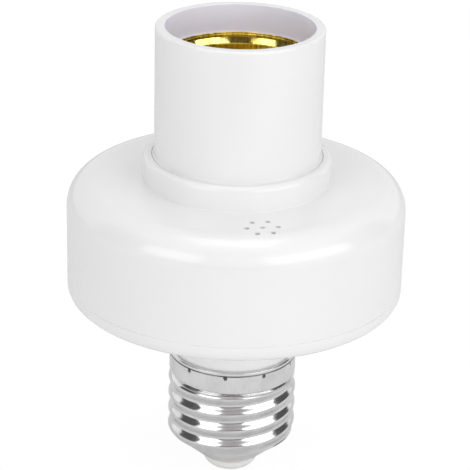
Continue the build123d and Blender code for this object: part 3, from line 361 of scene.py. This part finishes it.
def turn_round(shape, steps):
    """Spins the outline round the axis into a closed ring."""
    bmesh.ops.spin(
        shape,
        geom=shape.verts[:] + shape.edges[:],
        axis=(0.0, 0.0, 1.0),
        cent=(0.0, 0.0, 0.0),
        angle=tau,
        steps=steps,
        use_merge=True,
    )
    bmesh.ops.remove_doubles(shape, verts=shape.verts, dist=1e-7)
    bmesh.ops.recalc_face_normals(shape, faces=shape.faces)


def roll_thread(shape, wall, depth, bottom, top, fades, crest, turn):
    """Moves the wall out by a wave that climbs round the axis, right-handed."""
    for vert in shape.verts:
        z = vert.co.z
        radius = vert.co.xy.length
        if not bottom < z < top or abs(radius - wall(z)) > 2e-6:
            continue
        share = (vert.co.xy.angle_signed(Vector((1.0, 0.0))) - turn) / tau
        wave = 0.5 + 0.5 * cos(tau * ((z - crest) / thread_pitch - share))
        edge = min(1.0, (z - bottom) / fades[0], (top - z) / fades[1])
        vert.co.xy *= 1.0 + depth * wave * edge * edge * (3.0 - 2.0 * edge) / radius


def piece_from(shape, name, material, body, slot, *nodes, sharp=40.0):
    """Smooth-shaded piece that rides on a body and stands for CAD nodes."""
    mesh = mesh_of(name, shape)
    mesh.shade_smooth()
    mesh.set_sharp_from_angle(angle=radians(sharp))
    mesh.materials.append(material)
    made = bpy.data.objects.new(name, mesh)
    bpy.context.scene.collection.objects.link(made)
    if body:
        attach(made, body)
    if nodes:
        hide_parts(*nodes)
    return made


cap_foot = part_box("cap_shell")[0].z
cap_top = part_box("cap_shell")[1].z
cap_root = 0.0122
cap_skirt = 0.01285
cap_sheet = 0.0003
cap_hole = 0.00575
neck_hole = 0.0123
skirt_foot = cap_top - 0.00475
thread_top = skirt_foot - 0.00065
cap_crease = cap_top - 0.00090
cap_low = cap_foot - 0.00025
cap_corner = cap_foot + 0.0055
thread_foot = cap_corner - 0.0011
cap_thread_depth = 0.0008
cap_thread_length = 0.01185
cap_thread_fades = (0.0012, 0.0003)
cap_thread_turn = radians(53.0)
crease_half = 0.00010
crease_depth = 0.00006
cap_shape = bmesh.new()
ring_profile(
    cap_shape,
    (
        (cap_hole, cap_low, 0.0, 0),
        (cap_root, cap_corner, 0.0, 0),
        (cap_root, thread_top, 0.00025, 4),
        (cap_skirt, skirt_foot, 0.00025, 4),
        (cap_skirt, cap_crease - crease_half, 0.00002, 2),
        (cap_skirt - crease_depth, cap_crease, 0.00002, 2),
        (cap_skirt, cap_crease + crease_half, 0.00002, 2),
        (cap_skirt, cap_top - 0.00028, 0.00003, 2),
        (cap_skirt - 0.00025, cap_top, 0.00003, 2),
        (neck_hole, cap_top, 0.00003, 2),
        (neck_hole, cap_top - cap_sheet, 0.0, 0),
        (cap_skirt - cap_sheet, cap_top - 0.00085, 0.0, 0),
        (cap_skirt - cap_sheet, skirt_foot, 0.0, 0),
        (cap_root - cap_sheet, thread_top, 0.0, 0),
        (cap_root - cap_sheet, cap_corner + 0.000134, 0.0003, 4),
        (cap_hole, cap_low + 0.0004, 0.0, 0),
    ),
)


def cap_wall(z):
    """Radius of the cap's sheet on the outside, on its conical foot and above it."""
    return min(cap_root, cap_hole + (z - cap_low) * (cap_root - cap_hole) / (cap_corner - cap_low))


for low, high, cuts in ((cap_low, cap_corner, 41), (cap_corner, thread_top, 83)):
    divide_wall(cap_shape, cap_wall, low, high, cuts)
turn_round(cap_shape, turn_steps)
cap_crest = thread_top - cap_thread_length - thread_pitch / 2
roll_thread(
    cap_shape,
    cap_wall,
    cap_thread_depth,
    thread_foot,
    thread_top,
    cap_thread_fades,
    cap_crest,
    cap_thread_turn,
)

mark_count = 10
mark_first = radians(-96.0)
mark_radius = 0.0006
mark_reach = 0.01316
mark_height = cap_top - 0.00142
mark_middle = cap_top - 0.00150
punch_marks = bmesh.new()
for mark in range(mark_count):
    around = mark_first + tau * mark / mark_count
    place = Matrix.Translation((cos(around) * mark_reach, sin(around) * mark_reach, mark_height))
    bmesh.ops.create_icosphere(punch_marks, subdivisions=2, radius=mark_radius, matrix=place)


def cut_away(piece, shape):
    """Cuts a shape out of a piece for good."""
    cutter = bpy.data.objects.new("cutter", mesh_of("cutter", shape))
    bpy.context.scene.collection.objects.link(cutter)
    cut = piece.modifiers.new("cut", "BOOLEAN")
    cut.operation = "DIFFERENCE"
    cut.solver = "EXACT"
    cut.object = cutter
    seen = piece.evaluated_get(bpy.context.evaluated_depsgraph_get())
    result = bpy.data.meshes.new_from_object(seen)
    piece.modifiers.remove(cut)
    piece.data = result
    bpy.data.objects.remove(cutter)


nickel_plate = finish_from(
    "nickel_plate",
    worked_metal,
    {
        "Bright": (0.80, 0.795, 0.80, 1.0),
        "Dull": (0.69, 0.685, 0.69, 1.0),
        "Patch Scale": 260.0,
        "Streak Scale": 6000.0,
        "Streak Shade": 0.04,
        "Roughness": 0.11,
        "Roughness Spread": 0.08,
        "Height": 0.000003,
    },
    Metallic=1.0,
)
# Painted shade: the base colour is darkened along the crease under the lip, standing in for the
# shade in that crevice. It is also darkened inside the punch marks.
cap_tree, cap_shader, cap_effect = inside(nickel_plate)
cap_place = node(cap_tree, "ShaderNodeTexCoord")
cap_height = node(cap_tree, "ShaderNodeSeparateXYZ")
cap_off = node(cap_tree, "ShaderNodeMath", {1: cap_crease}, operation="SUBTRACT")
cap_near = node(cap_tree, "ShaderNodeMath", operation="ABSOLUTE")
crease_painted_shade = node(cap_tree, "ShaderNodeMapRange", {"From Min": 2 * crease_half, "From Max": 0.00008})
cap_flat = node(cap_tree, "ShaderNodeVectorMath", {1: (1.0, 1.0, 0.0)}, operation="MULTIPLY")
cap_radius = node(cap_tree, "ShaderNodeVectorMath", operation="LENGTH")
cap_pit = node(
    cap_tree,
    "ShaderNodeMapRange",
    {"From Min": cap_skirt - 0.00008, "From Max": cap_skirt - 0.00016},
)
mark_off = node(cap_tree, "ShaderNodeMath", {1: mark_middle}, operation="SUBTRACT")
mark_near = node(cap_tree, "ShaderNodeMath", operation="ABSOLUTE")
mark_zone = node(cap_tree, "ShaderNodeMapRange", {"From Min": 0.00062, "From Max": 0.00052})
punch_mark_darkening = node(cap_tree, "ShaderNodeMath", operation="MULTIPLY")
crease_shade_and_mark_darkening = node(cap_tree, "ShaderNodeMath", operation="MAXIMUM")
cap_painted_darkening = node(cap_tree, "ShaderNodeMix", {"B": (0.12, 0.115, 0.11, 1.0)}, data_type="RGBA")
wire(
    cap_tree,
    (cap_place.outputs["Object"], cap_height.inputs[0]),
    (cap_height.outputs["Z"], cap_off.inputs[0]),
    (cap_off.outputs[0], cap_near.inputs[0]),
    (cap_near.outputs[0], crease_painted_shade.inputs["Value"]),
    (cap_place.outputs["Object"], cap_flat.inputs[0]),
    (cap_flat.outputs[0], cap_radius.inputs[0]),
    (cap_radius.outputs["Value"], cap_pit.inputs["Value"]),
    (cap_height.outputs["Z"], mark_off.inputs[0]),
    (mark_off.outputs[0], mark_near.inputs[0]),
    (mark_near.outputs[0], mark_zone.inputs["Value"]),
    (cap_pit.outputs["Result"], punch_mark_darkening.inputs[0]),
    (mark_zone.outputs["Result"], punch_mark_darkening.inputs[1]),
    (crease_painted_shade.outputs["Result"], crease_shade_and_mark_darkening.inputs[0]),
    (punch_mark_darkening.outputs[0], crease_shade_and_mark_darkening.inputs[1]),
    (crease_shade_and_mark_darkening.outputs[0], cap_painted_darkening.inputs["Factor"]),
    (cap_effect.outputs["Color"], cap_painted_darkening.inputs["A"]),
    (cap_painted_darkening.outputs["Result"], cap_shader.inputs["Base Color"]),
)
screw_cap = piece_from(cap_shape, "screw_cap", nickel_plate, "holder", "cap_nickel", "cap_shell")
cut_away(screw_cap, punch_marks)

# Housings and tube: injection-moulded white plastic with a gloss from polished tools, faint
# waviness over the ribs inside, and the odd fine rub mark.
moulded_skin = bpy.data.node_groups.new("moulded_skin", "ShaderNodeTree")
sockets_of(
    moulded_skin,
    (
        ("INPUT", "NodeSocketColor", "Color", (0.8, 0.8, 0.8, 1.0)),
        ("INPUT", "NodeSocketFloat", "Shade Spread", 0.03),
        ("INPUT", "NodeSocketFloat", "Patch Scale", 60.0),
        ("INPUT", "NodeSocketFloat", "Grain Scale", 2500.0),
        ("INPUT", "NodeSocketFloat", "Roughness", 0.3),
        ("INPUT", "NodeSocketFloat", "Roughness Spread", 0.1),
        ("INPUT", "NodeSocketFloat", "Grain Height", 0.000004),
        ("INPUT", "NodeSocketFloat", "Wave Height", 0.00001),
        ("OUTPUT", "NodeSocketColor", "Color", None),
        ("OUTPUT", "NodeSocketFloat", "Roughness", None),
        ("OUTPUT", "NodeSocketVector", "Normal", None),
    ),
)
skin_in = node(moulded_skin, "NodeGroupInput")
skin_out = node(moulded_skin, "NodeGroupOutput")
skin_place = node(moulded_skin, "ShaderNodeTexCoord")
skin_patches = node(moulded_skin, "ShaderNodeTexNoise", {"Detail": 3.0, "Roughness": 0.5})
skin_grain = node(moulded_skin, "ShaderNodeTexNoise", {"Detail": 2.0, "Roughness": 0.6})
skin_range = node(moulded_skin, "ShaderNodeMapRange", {"From Min": 0.3, "From Max": 0.7})
skin_dark = node(moulded_skin, "ShaderNodeMath", operation="MULTIPLY")
skin_light = node(moulded_skin, "ShaderNodeMath", {0: 1.0}, operation="SUBTRACT")
skin_colour = node(moulded_skin, "ShaderNodeVectorMath", operation="SCALE")
skin_blur = node(moulded_skin, "ShaderNodeMath", operation="MULTIPLY_ADD")
skin_waves = node(moulded_skin, "ShaderNodeBump", {"Strength": 1.0})
skin_bump = node(moulded_skin, "ShaderNodeBump", {"Strength": 1.0})
wire(
    moulded_skin,
    (skin_place.outputs["Object"], skin_patches.inputs["Vector"]),
    (skin_in.outputs["Patch Scale"], skin_patches.inputs["Scale"]),
    (skin_place.outputs["Object"], skin_grain.inputs["Vector"]),
    (skin_in.outputs["Grain Scale"], skin_grain.inputs["Scale"]),
    (skin_patches.outputs["Fac"], skin_range.inputs["Value"]),
    (skin_range.outputs["Result"], skin_dark.inputs[0]),
    (skin_in.outputs["Shade Spread"], skin_dark.inputs[1]),
    (skin_dark.outputs[0], skin_light.inputs[1]),
    (skin_in.outputs["Color"], skin_colour.inputs[0]),
    (skin_light.outputs[0], skin_colour.inputs["Scale"]),
    (skin_grain.outputs["Fac"], skin_blur.inputs[0]),
    (skin_in.outputs["Roughness Spread"], skin_blur.inputs[1]),
    (skin_in.outputs["Roughness"], skin_blur.inputs[2]),
    (skin_patches.outputs["Fac"], skin_waves.inputs["Height"]),
    (skin_in.outputs["Wave Height"], skin_waves.inputs["Distance"]),
    (skin_waves.outputs[0], skin_bump.inputs["Normal"]),
    (skin_grain.outputs["Fac"], skin_bump.inputs["Height"]),
    (skin_in.outputs["Grain Height"], skin_bump.inputs["Distance"]),
    (skin_colour.outputs[0], skin_out.inputs["Color"]),
    (skin_blur.outputs[0], skin_out.inputs["Roughness"]),
    (skin_bump.outputs[0], skin_out.inputs["Normal"]),
)

white_gloss = finish_from(
    "white_gloss",
    moulded_skin,
    {
        "Color": (0.86, 0.86, 0.86, 1.0),
        "Shade Spread": 0.012,
        "Patch Scale": 70.0,
        "Grain Scale": 2600.0,
        "Roughness": 0.13,
        "Roughness Spread": 0.06,
        "Grain Height": 0.0000006,
        "Wave Height": 0.000006,
    },
)
dress(white_gloss, "lower_housing", "upper_housing")

# Tube: the same plastic. Inside its mouth a faint lilac is painted into the colour, as painted
# light for the light that comes through the wall.
tube_bore = 0.0145
tube_edge = 0.01485
tube_gloss = white_gloss.copy()
tube_gloss.name = "tube_gloss"
tube_tree, tube_shader, tube_effect = inside(tube_gloss)
tube_place = node(tube_tree, "ShaderNodeTexCoord")
tube_level = node(tube_tree, "ShaderNodeVectorMath", {1: (1.0, 1.0, 0.0)}, operation="MULTIPLY")
tube_radius = node(tube_tree, "ShaderNodeVectorMath", operation="LENGTH")
tube_inside = node(
    tube_tree,
    "ShaderNodeMapRange",
    {"From Min": tube_edge, "From Max": tube_bore},
)
# Painted light: lilac mixed into the colour inside the mouth.
tube_lilac_light = node(tube_tree, "ShaderNodeMix", {"B": (0.87, 0.855, 1.0, 1.0)}, data_type="RGBA")
wire(
    tube_tree,
    (tube_place.outputs["Object"], tube_level.inputs[0]),
    (tube_level.outputs[0], tube_radius.inputs[0]),
    (tube_radius.outputs["Value"], tube_inside.inputs["Value"]),
    (tube_inside.outputs["Result"], tube_lilac_light.inputs["Factor"]),
    (tube_effect.outputs["Color"], tube_lilac_light.inputs["A"]),
    (tube_lilac_light.outputs["Result"], tube_shader.inputs["Base Color"]),
)
tube_shader.inputs["Subsurface Weight"].default_value = 0.2
tube_shader.inputs["Subsurface Radius"].default_value = (1.0, 1.0, 1.0)
tube_shader.inputs["Subsurface Scale"].default_value = 0.0025
dress(tube_gloss, "holder_tube")

# Screws: zinc-plated steel, driven from below through the dish and the board.
zinc_steel = finish_from(
    "zinc_steel",
    worked_metal,
    {
        "Bright": (0.66, 0.66, 0.67, 1.0),
        "Dull": (0.50, 0.50, 0.50, 1.0),
        "Patch Scale": 700.0,
        "Roughness": 0.28,
        "Roughness Spread": 0.14,
    },
    Metallic=1.0,
)
dress(zinc_steel, "housing_screws")

# Circuit boards: glass fibre with green solder mask over copper tracks, drilled pads and tin.


def mask_green(name, track_scale):
    made = finish_from(
        name,
        moulded_skin,
        {
            "Color": (0.045, 0.20, 0.085, 1.0),
            "Shade Spread": 0.25,
            "Patch Scale": 240.0,
            "Grain Scale": 5000.0,
            "Roughness": 0.28,
            "Roughness Spread": 0.12,
        },
    )
    tree, shader, effect = inside(made)
    place = node(tree, "ShaderNodeTexCoord")
    tracks = node(
        tree,
        "ShaderNodeTexBrick",
        {
            "Scale": track_scale,
            "Mortar Size": 0.09,
            "Mortar Smooth": 0.1,
            "Brick Width": 1.6,
            "Row Height": 0.42,
        },
    )
    copper = node(tree, "ShaderNodeMix", {"B": (0.10, 0.34, 0.12, 1.0)}, data_type="RGBA")
    pads = node(tree, "ShaderNodeTexVoronoi", {"Scale": track_scale * 2.1, "Randomness": 0.35})
    rim = node(tree, "ShaderNodeMapRange", {"From Min": 0.24, "From Max": 0.20})
    tin = node(tree, "ShaderNodeMix", {"B": (0.62, 0.62, 0.60, 1.0)}, data_type="RGBA")
    wire(
        tree,
        (place.outputs["Object"], tracks.inputs["Vector"]),
        (place.outputs["Object"], pads.inputs["Vector"]),
        (tracks.outputs["Fac"], copper.inputs["Factor"]),
        (effect.outputs["Color"], copper.inputs["A"]),
        (pads.outputs["Distance"], rim.inputs["Value"]),
        (rim.outputs["Result"], tin.inputs["Factor"]),
        (copper.outputs["Result"], tin.inputs["A"]),
        (tin.outputs["Result"], shader.inputs["Base Color"]),
        (rim.outputs["Result"], shader.inputs["Metallic"]),
    )
    return made


dress(mask_green("mask_green", 130.0), "circuit_board")
dress(mask_green("fine_mask_green", 220.0), "receiver_board")

# Parts on the boards: potted and moulded cases, dipped and lacquered bodies, and a pressed can.


def moulded(name, colour, roughness, grain, *nodes, spread=0.08):
    """Case of one moulded colour, put on the nodes that have it."""
    made = finish_from(
        name,
        moulded_skin,
        {
            "Color": (*colour, 1.0),
            "Shade Spread": spread,
            "Patch Scale": 320.0,
            "Grain Scale": grain,
            "Roughness": roughness,
            "Roughness Spread": 0.16,
            "Grain Height": 0.00002,
            "Wave Height": 0.00001,
        },
    )
    dress(made, *nodes)


moulded("relay_case", (0.035, 0.035, 0.04), 0.42, 5000.0, "relay", "sounder")
chips = ("decoder_chip", "receiver_chip", "bridge_rectifier")
moulded("chip_case", (0.028, 0.028, 0.03), 0.5, 9000.0, *chips)
moulded("transistor_case", (0.032, 0.032, 0.03), 0.45, 8000.0, "regulator", "relay_transistor")
moulded("potted_yellow", (0.62, 0.38, 0.04), 0.3, 4000.0, "film_capacitor")
moulded("can_sleeve", (0.035, 0.04, 0.11), 0.25, 3000.0, "smoothing_capacitor")
moulded("dipped_blue", (0.03, 0.12, 0.34), 0.22, 2500.0, "varistor", spread=0.2)
moulded("lacquered_tan", (0.56, 0.39, 0.19), 0.3, 3500.0, "fuse_resistor", "resistors", spread=0.2)
pressed_can = finish_from(
    "pressed_can",
    worked_metal,
    {"Bright": (0.74, 0.74, 0.75, 1.0), "Dull": (0.62, 0.62, 0.63, 1.0), "Patch Scale": 600.0},
    Metallic=1.0,
)
dress(pressed_can, "crystal")

# Leads: stranded copper under soft coloured insulation, with the fine ribs of its extrusion.
red_leads = ("live_lead", "switched_lead", "antenna_wire")
moulded("red_insulation", (0.48, 0.02, 0.015), 0.38, 3500.0, *red_leads)
moulded("blue_insulation", (0.02, 0.07, 0.36), 0.38, 3500.0, "neutral_lead", "return_lead")

# Base of the lamp socket: pale insulating moulding on a ledge in the tube.
moulded("pale_insulator", (0.70, 0.66, 0.58), 0.4, 4500.0, "socket_base", spread=0.06)

# Sprung contact: one strip of brass, riveted at its foot and bent up to meet the lamp.
strip_width = 0.006
strip_sheet = 0.00035
strip_foot = -0.0072
strip_bend = -0.0034
strip_crown = 0.0012
strip_rise = 0.0034
strip_tip_reach = 0.0026
strip_tip_drop = 0.0014
strip_steps = 8
strip_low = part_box("centre_contact")[0].z + strip_sheet / 2
strip_shape = bmesh.new()
strip_points = (
    (strip_foot, strip_low, 0.0),
    (strip_bend, strip_low, 0.0007),
    (strip_crown, strip_low + strip_rise, 0.0011),
    (strip_crown + strip_tip_reach, strip_low + strip_rise - strip_tip_drop, 0.0),
)
strip_verts = [strip_shape.verts.new((x, -strip_width / 2, z)) for x, z, _ in strip_points]
for a, b in zip(strip_verts, strip_verts[1:]):
    strip_shape.edges.new((a, b))
for vert, (_, _, rounding) in zip(strip_verts, strip_points):
    if rounding:
        round_corner(strip_shape, vert, rounding, strip_steps)
across = bmesh.ops.extrude_edge_only(strip_shape, edges=strip_shape.edges[:])
bmesh.ops.translate(
    strip_shape,
    vec=(0.0, strip_width, 0.0),
    verts=[v for v in across["geom"] if isinstance(v, bmesh.types.BMVert)],
)
bmesh.ops.recalc_face_normals(strip_shape, faces=strip_shape.faces)
bmesh.ops.solidify(strip_shape, geom=strip_shape.faces[:], thickness=strip_sheet)
foot_heights = [v.co.z for v in strip_shape.verts if v.co.x < strip_foot + 1e-5]
sheet_middle = sum(foot_heights) / len(foot_heights)
bmesh.ops.translate(strip_shape, vec=(0.0, 0.0, strip_low - sheet_middle), verts=strip_shape.verts)
sheet_brass = finish_from(
    "sheet_brass",
    worked_metal,
    {
        "Bright": (0.88, 0.74, 0.22, 1.0),
        "Dull": (0.80, 0.60, 0.14, 1.0),
        "Patch Scale": 260.0,
        "Streak Scale": 1700.0,
        "Streak Shade": 0.40,
        "Roughness": 0.07,
        "Roughness Spread": 0.06,
        "Height": 0.000012,
    },
    Metallic=1.0,
)
sprung_contact = piece_from(
    strip_shape,
    "sprung_contact",
    sheet_brass,
    None,
    "brass",
    "centre_contact",
)
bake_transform(sprung_contact)

# Brass shell of the lamp socket: a drawn sheet with the lamp's thread rolled into it, a flange
# under the base's rivets and a lip beaded twice, which sits on the step near the tube's mouth.
shell_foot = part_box("socket_shell")[0].z
shell_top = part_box("socket_shell")[1].z
shell_root = 0.0133
shell_outer = 0.0136
shell_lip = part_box("socket_shell")[1].x
shell_hole = 0.0090
shell_sheet = 0.0004
lip_back = 0.01389
lip_edge = 0.01392
bead = 0.01384
socket_thread_top = shell_top - 0.0034
socket_thread_foot = shell_top - 0.023
socket_thread_depth = 0.0009
socket_thread_fade = 0.0011
socket_thread_turn = radians(40.0)
shell_shape = bmesh.new()
ring_profile(
    shell_shape,
    (
        (shell_hole, shell_foot, 0.0, 0),
        (shell_outer, shell_foot, 0.0003, 3),
        (shell_outer, shell_top - 0.00235, 0.0, 0),
        (lip_back, shell_top - 0.00105, 0.0, 0),
        (lip_back, shell_top - shell_sheet, 0.0, 0),
        (shell_lip, shell_top - shell_sheet, 0.00005, 2),
        (shell_lip, shell_top, 0.00012, 5),
        (lip_edge, shell_top, 0.00014, 6),
        (lip_edge, shell_top - 0.00042, 0.00004, 2),
        (bead, shell_top - 0.00046, 0.00006, 4),
        (bead, shell_top - 0.00090, 0.00004, 2),
        (bead + 0.00003, shell_top - 0.00094, 0.00002, 2),
        (bead, shell_top - 0.00100, 0.00003, 2),
        (shell_root, shell_top - 0.00222, 0.0002, 4),
        (shell_root, socket_thread_top, 0.0, 0),
        (shell_root, socket_thread_foot, 0.0, 0),
        (shell_root, shell_foot + shell_sheet, 0.0004, 4),
        (shell_hole, shell_foot + shell_sheet, 0.0, 0),
    ),
)


def shell_wall(z):
    """Radius of the brass sheet on the inside."""
    return shell_root


divide_wall(shell_shape, shell_wall, socket_thread_foot, socket_thread_top, 139)
turn_round(shell_shape, turn_steps)
roll_thread(
    shell_shape,
    shell_wall,
    -socket_thread_depth,
    socket_thread_foot,
    socket_thread_top,
    (socket_thread_fade, socket_thread_fade),
    socket_thread_foot - thread_pitch / 2,
    socket_thread_turn,
)
piece_from(shell_shape, "socket_shell_brass", sheet_brass, "holder", "brass", "socket_shell")
